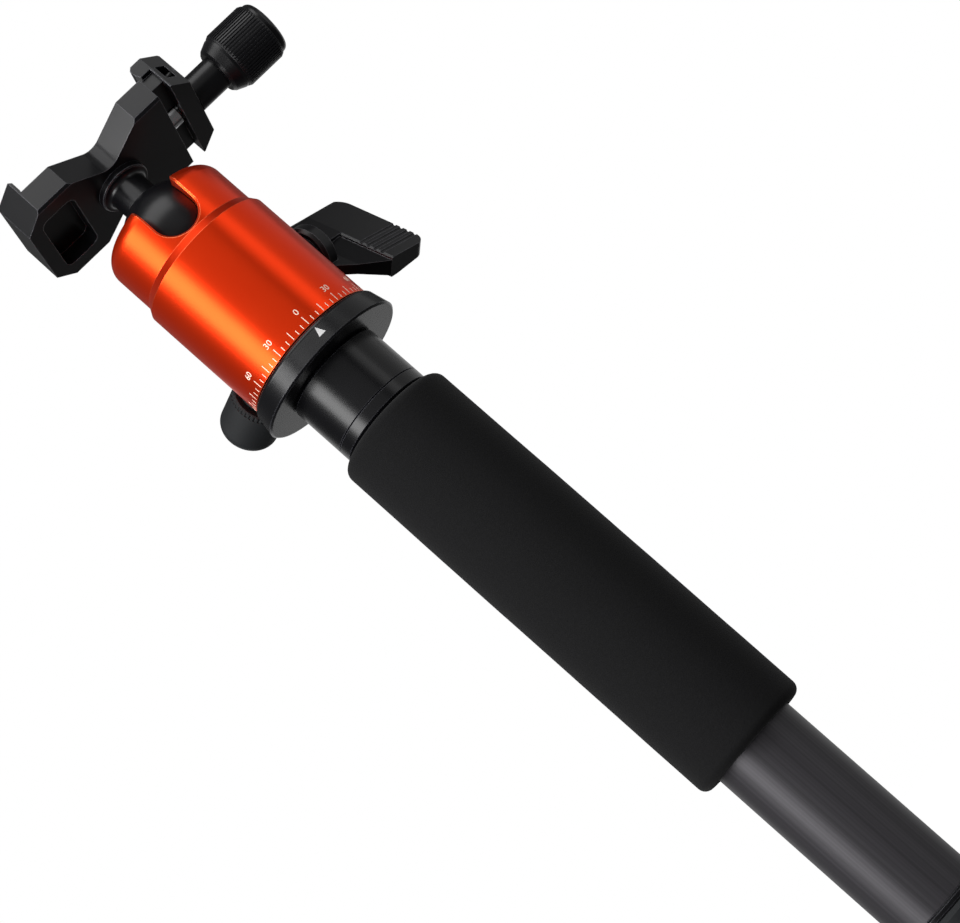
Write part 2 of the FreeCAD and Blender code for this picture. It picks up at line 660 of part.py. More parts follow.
def bevel_notch(shell):
    """Bevels the notch's outer edge along its sides and its round bottom."""
    half = NOTCH_WIDTH / 2
    edges = []
    for edge in shell.Edges:
        bounds = edge.BoundBox
        radii = [math.hypot(vertex.Point.x, vertex.Point.y) for vertex in edge.Vertexes]
        inside = bounds.YMax < 0 and max(-bounds.XMin, bounds.XMax) < half + 1e-3
        if inside and min(radii) > HOUSING_UPPER_RADIUS - 1e-3 and bounds.ZMin > ball_z - half - 1e-3:
            edges.append(edge)
    return shell.makeChamfer(NOTCH_BEVEL, edges)


def housing():
    recess = cylinder(bearing_outer + LOOSE_GAP, housing_bottom - OVERCUT, flange_top + BEARING_HEIGHT)
    journal = cylinder(SPINDLE_RADIUS + RUNNING_FIT, housing_bottom - OVERCUT, web_top)
    bore = cylinder(housing_bore, web_top, ball_z - SEAT_DROP)
    seat = Part.makeSphere(BALL_RADIUS + BALL_GAP, Vector(0, 0, ball_z))
    mouth = cylinder(MOUTH_RADIUS, ball_z, housing_top + OVERCUT)
    bevel = Part.makeCone(MOUTH_RADIUS, MOUTH_RADIUS + HOUSING_LIP_BEVEL, HOUSING_LIP_BEVEL,
                          Vector(0, 0, housing_top - HOUSING_LIP_BEVEL), Z_AXIS)
    shell = bevel_notch(single(turned(housing_outline()).cut(notch_cutter())))
    for cutter in (recess, journal, bore, seat, mouth, bevel, notch_corners()):
        shell = shell.cut(cutter)
    lock_hole = lying(cylinder(LOCK_SCREW_RADIUS + RUNNING_FIT, BALL_RADIUS, HOUSING_RADIUS + OVERCUT))
    pan_hole = lying(cylinder(PAN_SCREW_RADIUS + RUNNING_FIT, SPINDLE_RADIUS, HOUSING_RADIUS + OVERCUT))
    shell = shell.cut(radial(lock_hole, LEVER_AZIMUTH, lever_height))
    return single(shell.cut(radial(pan_hole, PAN_AZIMUTH, PAN_HEIGHT)))


# Lower seat and thrust block that the lock screw presses on
def lower_seat():
    cup = cylinder(housing_bore - SEAT_GAP, seat_bottom, ball_z - SEAT_RISE)
    hollow = Part.makeSphere(BALL_RADIUS + SEAT_GAP, Vector(0, 0, ball_z))
    hole = cylinder(SEAT_HOLE, seat_bottom - OVERCUT, ball_z)
    return cup.cut(hollow).cut(hole)


def thrust_block():
    block = cylinder(housing_bore - SEAT_GAP, washer_top + THRUST_GAP, seat_bottom)
    socket = cylinder(LOCK_SCREW_RADIUS + LOOSE_GAP, LOCK_SCREW_TIP - LOOSE_GAP, housing_bore + OVERCUT)
    return block.cut(radial(lying(socket), LEVER_AZIMUTH, lever_height))


# Lock lever: hub on the lock screw with a wing for the thumb
def lock_screw():
    screw = cylinder(LOCK_SCREW_RADIUS, LOCK_SCREW_TIP, hub_start + SCREW_IN_HUB)
    return radial(lying(bevel_ends(screw, LOCK_SCREW_BEVEL, [LOCK_SCREW_TIP])), LEVER_AZIMUTH, lever_height)


def lever_spacer():
    blank = ring(SPACER_RADIUS, LOCK_SCREW_RADIUS + LOOSE_GAP, HOUSING_RADIUS - SPACER_SET,
                 hub_start - SPACER_GAP)
    placed = radial(lying(blank), LEVER_AZIMUTH, lever_height)
    return placed.cut(cylinder(HOUSING_RADIUS, housing_bottom, housing_top))


def wing_outline():
    """The wing seen along its thickness, as (distance from the hub's inner face, height)."""
    out, top, tip, high, low = WING_OUT, WING_TOP, -WING_TIP, WING_OUT_ROUNDING, WING_TIP_CORNER
    upper = bend((out - high, top - high), high, 90, 0)
    lower = bend((out - low, tip + low), low, 0, -90)
    return [(WING_INNER, top + WING_RISE)] + upper + lower + [(WING_TIP_INNER, tip), (WING_INNER, -WING_INNER_DROP)]


def wing_section():
    """Slab seen from above: it gets thinner from the ridge to the outer edge."""
    half = [(WING_INNER - OVERCUT, WING_HALF), (WING_RIDGE, WING_HALF), (WING_OUT + OVERCUT, WING_EDGE_HALF)]
    return half + [(x, -y) for x, y in reversed(half)]


def wing_scoop(side):
    """What is cut from one side of the wing, between the hub and the ridge."""
    bevel = (WING_RIDGE - RIDGE_BEVEL_RUN, WING_HALF - RIDGE_BEVEL_DROP)
    outline = [
        (WING_RIDGE, WING_HALF), bevel, (bevel[0] - RIDGE_STEP_RUN, bevel[1] - RIDGE_STEP_DROP),
        (WING_WAIST, WING_WAIST_HALF), (WING_INNER - OVERCUT, WING_WAIST_HALF),
        (WING_INNER - OVERCUT, WING_HALF + OVERCUT), (WING_RIDGE, WING_HALF + OVERCUT)
    ]
    return plate([(x, side * y) for x, y in outline], -WING_TIP - OVERCUT, -SCOOP_TOP)


def wing_profile():
    """The wing seen along the lever's axis: rounded along its top and its tip, and climbing to the hub."""
    half, top, tip = WING_HALF, WING_TOP + WING_RISE, -WING_TIP
    low, high = WING_TIP_ROUNDING, WING_TOP_ROUNDING
    outline = bend((half - low, tip + low), low, -90, 0) + bend((half - high, top - high), high, 0, 90)
    outline += bend((high - half, top - high), high, 90, 180) + bend((low - half, tip + low), low, 180, 270)
    face = outline_face(outline, lambda p: Vector(-OVERCUT, p[0], p[1]))
    run, length = WING_OUT - WING_OUT_ROUNDING + OVERCUT, WING_OUT + 2 * OVERCUT
    return face.extrude(Vector(length, 0, -WING_RISE * length / run))


def grip_groove(side, number):
    """One of the fine grooves that run from the ridge to the wing's outer edge."""
    slope = math.degrees(math.atan2(WING_HALF - WING_EDGE_HALF, WING_OUT + OVERCUT - WING_RIDGE))
    length = WING_OUT - WING_RIDGE + GRIP_GROOVE_BACK + OVERCUT
    groove = Part.makeCylinder(GRIP_GROOVE_RADIUS, length, Vector(-GRIP_GROOVE_BACK, 0, 0), X_AXIS)
    groove.rotate(ORIGIN, Z_AXIS, -side * slope)
    height = -GRIP_GROOVE_START - number * GRIP_GROOVE_PITCH
    groove.translate(Vector(WING_RIDGE, side * (WING_HALF + GRIP_GROOVE_PROUD), height))
    return groove


def lock_lever():
    face = outline_face(wing_outline(), lambda p: Vector(p[0], -WING_HALF - OVERCUT, p[1]))
    slab = face.extrude(Vector(0, 2 * (WING_HALF + OVERCUT), 0))
    section = plate(wing_section(), -WING_TIP - OVERCUT, WING_TOP + OVERCUT)
    wing = slab.common(section).common(wing_profile())
    for side in (-1, 1):
        wing = wing.cut(wing_scoop(side))
        for number in range(GRIP_GROOVES):
            wing = wing.cut(grip_groove(side, number))
    hub = lying(bevel_ends(cylinder(HUB_RADIUS, 0, HUB_LENGTH), LEVER_EDGE, [0, HUB_LENGTH]))
    lever = wing.fuse(hub)
    bore = lying(cylinder(LOCK_SCREW_RADIUS + THREAD_FIT, -OVERCUT, SCREW_IN_HUB))
    lever = single(lever.cut(bore))
    lever.rotate(ORIGIN, X_AXIS, -LEVER_LEAN)
    lever.translate(Vector(hub_start, 0, 0))
    return radial(lever, LEVER_AZIMUTH, lever_height)


# Pan lock: brake pad, screw and knob
def brake_pad():
    start = SPINDLE_RADIUS + BRAKE_GAP
    return radial(lying(cylinder(brake_radius, start, start + BRAKE_LENGTH)), PAN_AZIMUTH, PAN_HEIGHT)


def pan_screw():
    start = SPINDLE_RADIUS + BRAKE_GAP + BRAKE_LENGTH + BRAKE_SCREW_GAP
    screw = cylinder(PAN_SCREW_RADIUS, start, pan_knob_start + PAN_SCREW_IN_KNOB)
    return radial(lying(screw), PAN_AZIMUTH, PAN_HEIGHT)


def pan_knob():
    """Domed knob on a boss, with fine teeth round its inner rim."""
    r, edge, rounding = PAN_KNOB_RADIUS, PAN_KNOB_EDGE, PAN_KNOB_ROUNDING
    boss_end = pan_boss_start + PAN_BOSS_LENGTH
    start, end = pan_knob_start, pan_knob_start + PAN_KNOB_LENGTH
    outline = [
        (0, pan_boss_start), (PAN_BOSS_RADIUS, pan_boss_start), (PAN_BOSS_RADIUS, boss_end),
        (PAN_NECK_RADIUS, boss_end), (PAN_NECK_RADIUS, start), (r - edge, start), (r, start + edge)
    ]
    outline += bend((r - rounding, end - rounding), rounding, 0, 90) + [(0, end)]
    tooth_gap = cylinder(PAN_TOOTH_RADIUS, start - OVERCUT, start + PAN_TOOTH_LENGTH)
    tooth_gap.translate(Vector(r + PAN_TOOTH_PROUD, 0, 0))
    knob = turned(outline).cut(Part.makeCompound(polar(tooth_gap, PAN_TEETH)))
    knob = knob.cut(cylinder(PAN_SCREW_RADIUS + THREAD_FIT, 0, start + PAN_SCREW_IN_KNOB))
    return radial(lying(single(knob)), PAN_AZIMUTH, PAN_HEIGHT)


# Ball and stem, in the ball's own frame
def on_ball(shape):
    """Leans and turns what was made upright about the ball's centre, and sets it in the housing."""
    lean = math.radians(LEAN_AZIMUTH)
    shape.rotate(ORIGIN, Z_AXIS, CLAMP_TURN)
    shape.rotate(ORIGIN, Vector(-math.sin(lean), math.cos(lean), 0), HEAD_LEAN)
    shape.translate(Vector(0, 0, ball_z))
    return shape


def ball():
    sphere = Part.makeSphere(BALL_RADIUS)
    above = cylinder(BALL_RADIUS, stem_flat, BALL_RADIUS + OVERCUT)
    bore = cylinder(SPIGOT_RADIUS + RUNNING_FIT, stem_flat - SPIGOT_LENGTH - SCREW_END_ROOM, BALL_RADIUS)
    return on_ball(sphere.cut(above).cut(bore))


def ball_stem():
    flange_low = STEM_LENGTH - STEM_FLANGE_HEIGHT
    spigot_end = stem_flat - SPIGOT_LENGTH
    outline = [
        (0, spigot_end), (SPIGOT_RADIUS, spigot_end), (SPIGOT_RADIUS, stem_flat), (STEM_RADIUS, stem_flat)
    ]
    outline += bend((STEM_RADIUS + STEM_FILLET, flange_low - STEM_FILLET), STEM_FILLET, 180, 90)
    outline += [
        (stem_flange_radius - STEM_BEVEL, flange_low), (stem_flange_radius, flange_low + STEM_BEVEL),
        (stem_flange_radius, STEM_LENGTH), (0, STEM_LENGTH)
    ]
    tenon_top = STEM_LENGTH + TENON_HEIGHT
    tenon = cylinder(TENON_RADIUS, STEM_LENGTH, tenon_top)
    flats = box((-TENON_RADIUS, -TENON_FLAT, STEM_LENGTH), (TENON_RADIUS, TENON_FLAT, tenon_top))
    thread_end = STEM_LENGTH + PLATFORM_HEIGHT - CLAMP_BOLT_LENGTH - BOLT_END_ROOM
    thread = cylinder(CLAMP_BOLT_RADIUS + THREAD_FIT, thread_end, tenon_top + OVERCUT)
    return on_ball(turned(outline).fuse(tenon.common(flats)).cut(thread))


# Clamp: body with the fixed jaw, moving jaw, screw, knob and pins
def on_clamp(shape):
    shape.translate(Vector(0, 0, STEM_LENGTH))
    return on_ball(shape)


def both_sides(front):
    """Closes a front outline, from left to right, with its mirror image at the back."""
    ends = [item[1] if isinstance(item[0], tuple) else item for item in front]
    back = [(ends[-1][0], -ends[-1][1])]
    for item, (x, y) in zip(reversed(front[1:]), reversed(ends[:-1])):
        arc = isinstance(item[0], tuple)
        back.append(((item[0][0], -item[0][1]), (x, -y)) if arc else (x, -y))
    return front + back


def waist_front():
    """Front of the clamp's waist: two slanted flanks with an arc between them."""
    run = WAIST_HALF_LENGTH
    slope = math.degrees(math.atan2(half_groove - WAIST_HALF_WIDTH, run))
    arc = bend((0, -WAIST_HALF_WIDTH - WAIST_ROUNDING), WAIST_ROUNDING, 90 + slope, 90 - slope)
    return [(-run, -half_groove)] + arc + [(run, -half_groove)]


def bevel_low_edges(shape, size):
    """Bevels the long straight edges of the underside's front and back."""
    edges = []
    for edge in shape.Edges:
        bounds = edge.BoundBox
        flat = bounds.ZMax < 1e-4 and bounds.YLength < 1e-4 and bounds.XLength > 3
        if flat and abs(abs(bounds.YMin) - half_groove) < 1e-3:
            edges.append(edge)
    return shape.makeChamfer(size, edges)


def lip(inner, outer, base, inward):
    """A jaw's lip along Y, undercut like a dovetail on its inner side."""
    side = [
        (inner + LIP_UNDERCUT * inward, base), (inner, base + LIP_UNDERCUT_HEIGHT),
        (inner, LIP_HEIGHT - LIP_BEVEL), (inner + LIP_BEVEL * inward, LIP_HEIGHT),
        (outer - LIP_OUTER_BEVEL * inward, LIP_HEIGHT), (outer, LIP_HEIGHT - LIP_OUTER_BEVEL), (outer, base)
    ]
    face = outline_face(side, lambda p: Vector(p[0], -half_groove, p[1]))
    return face.extrude(Vector(0, GROOVE_LENGTH, 0))


def at_screw(shape):
    """Sets what was made along Z on the clamp screw's axis."""
    shape = lying(shape)
    shape.translate(Vector(0, 0, CLAMP_SCREW_HEIGHT))
    return shape


def at_pins(radius, start, end):
    """The two guide pins' cylinders, or their holes."""
    pair = []
    for side in (-1, 1):
        pin = lying(cylinder(radius, start, end))
        pin.translate(Vector(0, side * PIN_OFFSET, PIN_HEIGHT))
        pair.append(pin)
    return pair


def clamp_body():
    corner = [(-CLAMP_LEFT, -half_groove + CORNER_CUT), (-CLAMP_LEFT + CORNER_CUT, -half_groove)]
    outline = both_sides(corner + waist_front() + [(BODY_RIGHT, -half_groove)])
    body = bevel_low_edges(plate(outline, 0, PLATFORM_HEIGHT), CLAMP_EDGE_BEVEL)
    plan = plate(outline, 0, LIP_HEIGHT + OVERCUT)
    fixed_lip = lip(-LIP_INNER, -CLAMP_LEFT, PLATFORM_HEIGHT - OVERCUT, -1).common(plan)
    tongue = box((BODY_RIGHT - OVERCUT, -tongue_half, TONGUE_BOTTOM),
                 (tongue_end, tongue_half, PLATFORM_HEIGHT))
    body = body.fuse([fixed_lip, tongue])
    notch = box((BODY_RIGHT, -TONGUE_NOTCH, TONGUE_BOTTOM - OVERCUT),
                (tongue_end + OVERCUT, TONGUE_NOTCH, PLATFORM_HEIGHT + OVERCUT))
    half_pocket = POCKET_HALF_WIDTH
    pocket = box((-POCKET_LEFT, -half_pocket, -OVERCUT), (-POCKET_RIGHT, half_pocket, POCKET_DEPTH))
    upright = [edge for edge in pocket.Edges if edge.BoundBox.ZLength > POCKET_DEPTH]
    pocket = pocket.makeFillet(POCKET_ROUNDING, upright)
    screw_room = cylinder(CLAMP_SCREW_RADIUS + LOOSE_GAP, screw_tip - JAW_CLOSE - SCREW_END_ROOM,
                          bush_start)
    bush_bore = cylinder(BUSH_SPIGOT_RADIUS + THREAD_FIT, bush_start, BODY_RIGHT + OVERCUT)
    bolt_hole = cylinder(CLAMP_BOLT_RADIUS + THREAD_FIT, -OVERCUT, PLATFORM_HEIGHT + OVERCUT)
    bolt_sink = Part.makeCone(CLAMP_BOLT_RADIUS, CLAMP_BOLT_HEAD + THREAD_FIT, BOLT_HEAD_HEIGHT,
                              Vector(0, 0, PLATFORM_HEIGHT - BOLT_HEAD_HEIGHT), Z_AXIS)
    tenon_seat = cylinder(TENON_RADIUS + THREAD_FIT, -OVERCUT, TENON_HEIGHT)
    flat, wide = TENON_FLAT + THREAD_FIT, TENON_RADIUS + OVERCUT
    tenon_seat = tenon_seat.common(box((-wide, -flat, -OVERCUT), (wide, flat, TENON_HEIGHT)))
    cutters = [notch, pocket, at_screw(screw_room), at_screw(bush_bore), bolt_hole, bolt_sink, tenon_seat]
    cutters += at_pins(PIN_RADIUS + RUNNING_FIT, pin_start - JAW_CLOSE - SCREW_END_ROOM,
                       tongue_end + OVERCUT)
    for cutter in cutters:
        body = body.cut(cutter)
    return on_clamp(single(body))


def clamp_bolt():
    head_low = PLATFORM_HEIGHT - BOLT_HEAD_HEIGHT
    shank = cylinder(CLAMP_BOLT_RADIUS, PLATFORM_HEIGHT - CLAMP_BOLT_LENGTH, head_low)
    head = Part.makeCone(CLAMP_BOLT_RADIUS, CLAMP_BOLT_HEAD - 2 * COUNTERSINK_GAP,
                         BOLT_HEAD_HEIGHT - BOLT_HEAD_SUNK, Vector(0, 0, head_low), Z_AXIS)
    socket = hexagon(BOLT_HEX_ACROSS, head_low - OVERCUT, PLATFORM_HEIGHT + OVERCUT)
    return on_clamp(shank.fuse(head).cut(socket))


def screw_bush():
    """Steel bush pressed into the body's end, with the thread for the clamp screw."""
    spigot = cylinder(BUSH_SPIGOT_RADIUS, bush_start, BODY_RIGHT)
    head = cylinder(BUSH_HEAD_RADIUS, BODY_RIGHT, bush_head_end)
    head = bevel_ends(head, BUSH_HEAD_BEVEL, [bush_head_end])
    thread = cylinder(CLAMP_SCREW_RADIUS + RUNNING_FIT, bush_start - OVERCUT, bush_head_end + OVERCUT)
    return on_clamp(at_screw(spigot.fuse(head).cut(thread)))


def moving_jaw():
    cut = JAW_CORNER_CUT
    front = [(jaw_inner, -half_groove), (jaw_right - cut, -half_groove), (jaw_right, -half_groove + cut)]
    plan = plate(both_sides(front), -OVERCUT, LIP_HEIGHT + OVERCUT)
    lip_base = PLATFORM_HEIGHT + JAW_LIP_GAP
    block = box((jaw_block, -half_groove, JAW_BOTTOM), (jaw_right, half_groove, lip_base + OVERCUT))
    jaw = block.fuse(lip(jaw_inner, jaw_right, lip_base, 1)).common(plan)
    hollow_end = jaw_right - JAW_WALL
    recess_half = tongue_half + LOOSE_GAP
    recess = box((jaw_block - OVERCUT, -recess_half, TONGUE_BOTTOM - LOOSE_GAP),
                 (hollow_end, recess_half, lip_base))
    head_room = cylinder(BUSH_HEAD_RADIUS + LOOSE_GAP, jaw_block - OVERCUT, hollow_end)
    shaft = cylinder(CLAMP_SCREW_RADIUS + RUNNING_FIT, jaw_block - OVERCUT, jaw_right + OVERCUT)
    cutters = [recess, at_screw(head_room), at_screw(shaft)]
    cutters += at_pins(PIN_RADIUS + THREAD_FIT, jaw_block, jaw_right - PIN_COVER)
    for cutter in cutters:
        jaw = jaw.cut(cutter)
    return on_clamp(single(jaw))


def guide_pins():
    pins = at_pins(PIN_RADIUS, pin_start, jaw_right - PIN_COVER)
    return Part.makeCompound([on_clamp(pin) for pin in pins])


def clamp_screw():
    screw = cylinder(CLAMP_SCREW_RADIUS, screw_tip, neck_end)
    return on_clamp(at_screw(bevel_ends(screw, CLAMP_SCREW_BEVEL, [screw_tip])))


def clamp_knob():
    """Neck, cone and ribbed grip of the clamp's knob, turned about its own axis."""
    cone, rim, rim_height = KNOB_CONE_BEVEL, KNOB_RIM_BEVEL, KNOB_RIM_HEIGHT
    outline = [
        (0, knob_start), (KNOB_NECK_RADIUS, knob_start), (KNOB_NECK_RADIUS, neck_end),
        (KNOB_CONE_RADIUS - cone, neck_end), (KNOB_CONE_RADIUS, neck_end + cone),
        (KNOB_CONE_END_RADIUS, cone_end), (KNOB_CONE_END_RADIUS, grip_start),
        (KNOB_BODY_RADIUS - rim, grip_start), (KNOB_BODY_RADIUS, grip_start + rim_height),
        (KNOB_BODY_RADIUS, grip_end - rim_height), (KNOB_BODY_RADIUS - rim, grip_end),
        (0, grip_end)
    ]
    half_slot = KNOB_SLOT_WIDTH / 2
    slot = box((KNOB_BODY_RADIUS - KNOB_RIB_DEPTH, -half_slot, grip_start - OVERCUT),
               (KNOB_BODY_RADIUS + OVERCUT, half_slot, grip_end + OVERCUT))
    knob = turned(outline).cut(Part.makeCompound(polar(slot, KNOB_RIBS)))
    knob = knob.cut(cylinder(CLAMP_SCREW_RADIUS + THREAD_FIT, knob_start - OVERCUT, neck_end))
    return on_clamp(at_screw(single(knob)))


def knob_cap():
    r, end, rounding = KNOB_CAP_RADIUS, cap_end, KNOB_CAP_ROUNDING
    floor = end - KNOB_CAP_DISH
    outline = [(0, grip_end), (r, grip_end)]
    outline += bend((r - rounding, end - rounding), rounding, 0, 90)
    outline += [(r - rounding - KNOB_CAP_SLOPE, floor), (0, floor)]
    return on_clamp(at_screw(turned(outline)))


nodes["rubber_foot"] = rubber_foot()
nodes["foot_plug"] = foot_plug()
for section in range(SECTION_COUNT):
    nodes["leg_tube_%d" % (section + 1)] = tube(section)
    if section:
        nodes["guide_bush_%d" % (section + 1)] = guide_bush(section)
for lock in range(LOCK_COUNT):
    nodes["thread_sleeve_%d" % (lock + 1)] = thread_sleeve(lock)
    nodes["collet_%d" % (lock + 1)] = collet(lock)
    nodes["twist_lock_%d" % (lock + 1)] = twist_lock(lock)
    nodes["lock_grip_ring_%d" % (lock + 1)] = grip_ring(lock)
nodes["foam_grip"] = foam_grip()
nodes["leg_collar"] = leg_collar()
nodes["neck_adapter"] = neck_adapter()
nodes["mounting_stud"] = mounting_stud()
nodes["base_flange"] = base_flange()
nodes["pan_bearing"] = pan_bearing()
nodes["retaining_washer"] = retaining_washer()
nodes["retaining_screw"] = retaining_screw()
nodes["ball_housing"] = housing()
nodes["lower_seat"] = lower_seat()
nodes["thrust_block"] = thrust_block()
nodes["lock_screw"] = lock_screw()
nodes["lever_spacer"] = lever_spacer()
nodes["lock_lever"] = lock_lever()
nodes["brake_pad"] = brake_pad()
nodes["pan_screw"] = pan_screw()
nodes["pan_knob"] = pan_knob()
nodes["ball"] = ball()
nodes["ball_stem"] = ball_stem()
nodes["clamp_body"] = clamp_body()
nodes["clamp_bolt"] = clamp_bolt()
nodes["clamp_jaw"] = moving_jaw()
nodes["guide_pins"] = guide_pins()
nodes["screw_bush"] = screw_bush()
nodes["clamp_screw"] = clamp_screw()
nodes["clamp_knob"] = clamp_knob()
nodes["knob_cap"] = knob_cap()

os.makedirs("parts", exist_ok=True)
for name, shape in nodes.items():
    shape.exportStep("parts/%s.step" % name)
    bounds = shape.BoundBox
    print("%-20s solids %d valid %s volume %9.1f z %.1f to %.1f" % (
        name, len(shape.Solids), shape.isValid(), shape.Volume, bounds.ZMin, bounds.ZMax))
print("ball centre", ball_z, "nodes", len(nodes))
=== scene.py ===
import math

import bmesh
import bpy
from mathutils import Matrix, Vector, noise


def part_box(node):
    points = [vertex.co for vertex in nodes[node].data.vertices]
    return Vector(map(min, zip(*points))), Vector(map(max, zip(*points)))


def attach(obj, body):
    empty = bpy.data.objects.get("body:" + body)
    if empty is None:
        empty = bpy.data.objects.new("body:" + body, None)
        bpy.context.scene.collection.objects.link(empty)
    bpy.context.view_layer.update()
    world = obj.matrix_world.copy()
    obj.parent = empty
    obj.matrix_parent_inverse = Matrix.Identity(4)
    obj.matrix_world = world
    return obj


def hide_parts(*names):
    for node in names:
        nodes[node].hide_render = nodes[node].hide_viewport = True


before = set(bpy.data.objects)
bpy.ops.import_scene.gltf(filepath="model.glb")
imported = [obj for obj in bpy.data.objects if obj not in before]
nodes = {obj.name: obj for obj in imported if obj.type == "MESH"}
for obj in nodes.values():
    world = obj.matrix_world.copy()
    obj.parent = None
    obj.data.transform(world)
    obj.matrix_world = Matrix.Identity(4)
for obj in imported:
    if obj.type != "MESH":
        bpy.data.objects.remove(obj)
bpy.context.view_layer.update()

MM = 0.001


# Camera: it stands in front of the head at the height of the foam, looks a little up, and is rolled
# so that the upright leg lies across the picture, with the head at the upper left.
CAMERA_REACH = 0.612                    # from the leg's axis
CAMERA_HEIGHT = 0.1783
CAMERA_SIDE = math.radians(10.5)        # off the head's front, towards the clamp's fixed jaw
CAMERA_TILT = math.radians(10.7)
CAMERA_LENS = 93.75                     # on the usual 36 mm sensor
PICTURE_FOCUS = 2500.0                  # the same lens in pixels of the 960 wide picture
PICTURE_ASIDE = 30.4                    # pixels from the leg's axis to the picture's middle
ROLL_SIDE, ROLL_UP = 0.6598, 0.7514     # the picture's right edge in the leg's own right and down

aside = math.atan(PICTURE_ASIDE / PICTURE_FOCUS * math.cos(CAMERA_TILT))
side = Vector((math.cos(CAMERA_SIDE), -math.sin(CAMERA_SIDE), 0))
depth = Vector((math.sin(CAMERA_SIDE), math.cos(CAMERA_SIDE), 0))
level_right = side * math.cos(aside) - depth * math.sin(aside)
level_ahead = depth * math.cos(aside) + side * math.sin(aside)
up_axis = Vector((0, 0, 1))
ahead = level_ahead * math.cos(CAMERA_TILT) + up_axis * math.sin(CAMERA_TILT)
above = up_axis * math.cos(CAMERA_TILT) - level_ahead * math.sin(CAMERA_TILT)
picture_right = level_right * ROLL_SIDE - above * ROLL_UP
picture_up = level_right * ROLL_UP + above * ROLL_SIDE

camera = bpy.data.objects.new("camera", bpy.data.cameras.new("camera"))
bpy.context.scene.collection.objects.link(camera)
camera.data.lens = CAMERA_LENS
camera.data.clip_start = 0.01
camera_turn = Matrix((picture_right, picture_up, -ahead)).transposed().to_4x4()
camera_place = Vector((0, 0, CAMERA_HEIGHT)) - depth * CAMERA_REACH
camera.matrix_world = Matrix.Translation(camera_place) @ camera_turn
bpy.context.scene.camera = camera
bpy.context.scene.view_settings.view_transform = "Standard"


# Floor and light: a pale painted studio floor, a tall soft light on the left, two weak ones on the right,
# one in front, one overhead, and a low wide glow from behind, in a dim room with white walls.
def linear(code):
    """The linear colour of an sRGB hex code."""
    parts = [int(code[i:i + 2], 16) / 255 for i in (1, 3, 5)]
    return [c / 12.92 if c <= 0.04045 else ((c + 0.055) / 1.055) ** 2.4 for c in parts] + [1.0]


def add(tree, kind, settings=(), links=()):
    """Adds a node, with its settings by attribute or socket name, and its links by socket."""
    node = tree.nodes.new(kind)
    for key, value in dict(settings).items():
        if isinstance(key, str) and hasattr(node, key):
            setattr(node, key, value)
        else:
            node.inputs[key].default_value = value
    for key, source in dict(links).items():
        tree.links.new(source, node.inputs[key])
    return node


def new_finish(name, **shading):
    """A material with its node tree, its shader set up, and the piece's own coordinates in metres."""
    material = bpy.data.materials.new(name)
    material.use_nodes = True
    tree = material.node_tree
    shader = tree.nodes["Principled BSDF"]
    for key, value in shading.items():
        shader.inputs[key.replace("_", " ")].default_value = value
    place = add(tree, "ShaderNodeTexCoord").outputs["Object"]
    return material, tree, shader, place


def mottled(tree, place, scale, detail, dark, light):
    """Two shades of one colour, mixed by a soft noise."""
    cloudy = add(tree, "ShaderNodeTexNoise", {"Scale": scale, "Detail": detail}, {"Vector": place})
    return add(tree, "ShaderNodeMix", {"data_type": "RGBA", 6: linear(dark), 7: linear(light)},
               {0: cloudy.outputs[0]}).outputs[2]


def make_piece(name, bm, material, body):
    """Turns a bmesh into a piece, which rides on a body unless it belongs to the stage."""
    mesh = bpy.data.meshes.new(name)
    bm.to_mesh(mesh)
    bm.free()
    mesh.materials.append(material)
    piece = bpy.data.objects.new(name, mesh)
    bpy.context.scene.collection.objects.link(piece)
    if body:
        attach(piece, body)
    return piece


FLOOR_HALF = 6.0
FLOOR_GLOW = 1.0                        # lit evenly from below, as a light table is
painted_floor, tree, shader, place = new_finish("painted_floor", Roughness=0.8,
                                                Emission_Strength=FLOOR_GLOW)
tint = mottled(tree, place, 3.0, 2.0, "#FAFAFA", "#F4F4F4")
tree.links.new(tint, shader.inputs["Base Color"])
tree.links.new(tint, shader.inputs["Emission Color"])
bm = bmesh.new()
bmesh.ops.create_grid(bm, x_segments=1, y_segments=1, size=FLOOR_HALF)
floor = make_piece("floor", bm, painted_floor, None)
floor.visible_diffuse = False
floor.visible_glossy = False

room = bpy.data.worlds.new("room")
bpy.context.scene.world = room
room.use_nodes = True
ROOM_LIGHT = 0.10
backdrop = room.node_tree.nodes["Background"]
backdrop.inputs["Color"].default_value = linear("#FFFFFF")
seen = add(room.node_tree, "ShaderNodeLightPath")
amount = add(room.node_tree, "ShaderNodeMapRange", {3: ROOM_LIGHT, 4: 1.0},
             {0: seen.outputs["Is Camera Ray"]})
room.node_tree.links.new(amount.outputs[0], backdrop.inputs["Strength"])

HEAD_MIDDLE = Vector((0, 0, 0.36))


def softbox(name, azimuth, elevation, distance, width, height, power):
    """A flat soft light that faces the head."""
    light = bpy.data.objects.new(name, bpy.data.lights.new(name, "AREA"))
    bpy.context.scene.collection.objects.link(light)
    light.data.shape = "RECTANGLE"
    light.data.size, light.data.size_y = width, height
    light.data.energy = power
    a, e = math.radians(azimuth), math.radians(elevation)
    out = Vector((math.cos(a) * math.cos(e), math.sin(a) * math.cos(e), math.sin(e)))
    turn = (-out).to_track_quat("-Z", "Y").to_matrix().to_4x4()
    light.matrix_world = Matrix.Translation(HEAD_MIDDLE + out * distance) @ turn
    light.visible_camera = False


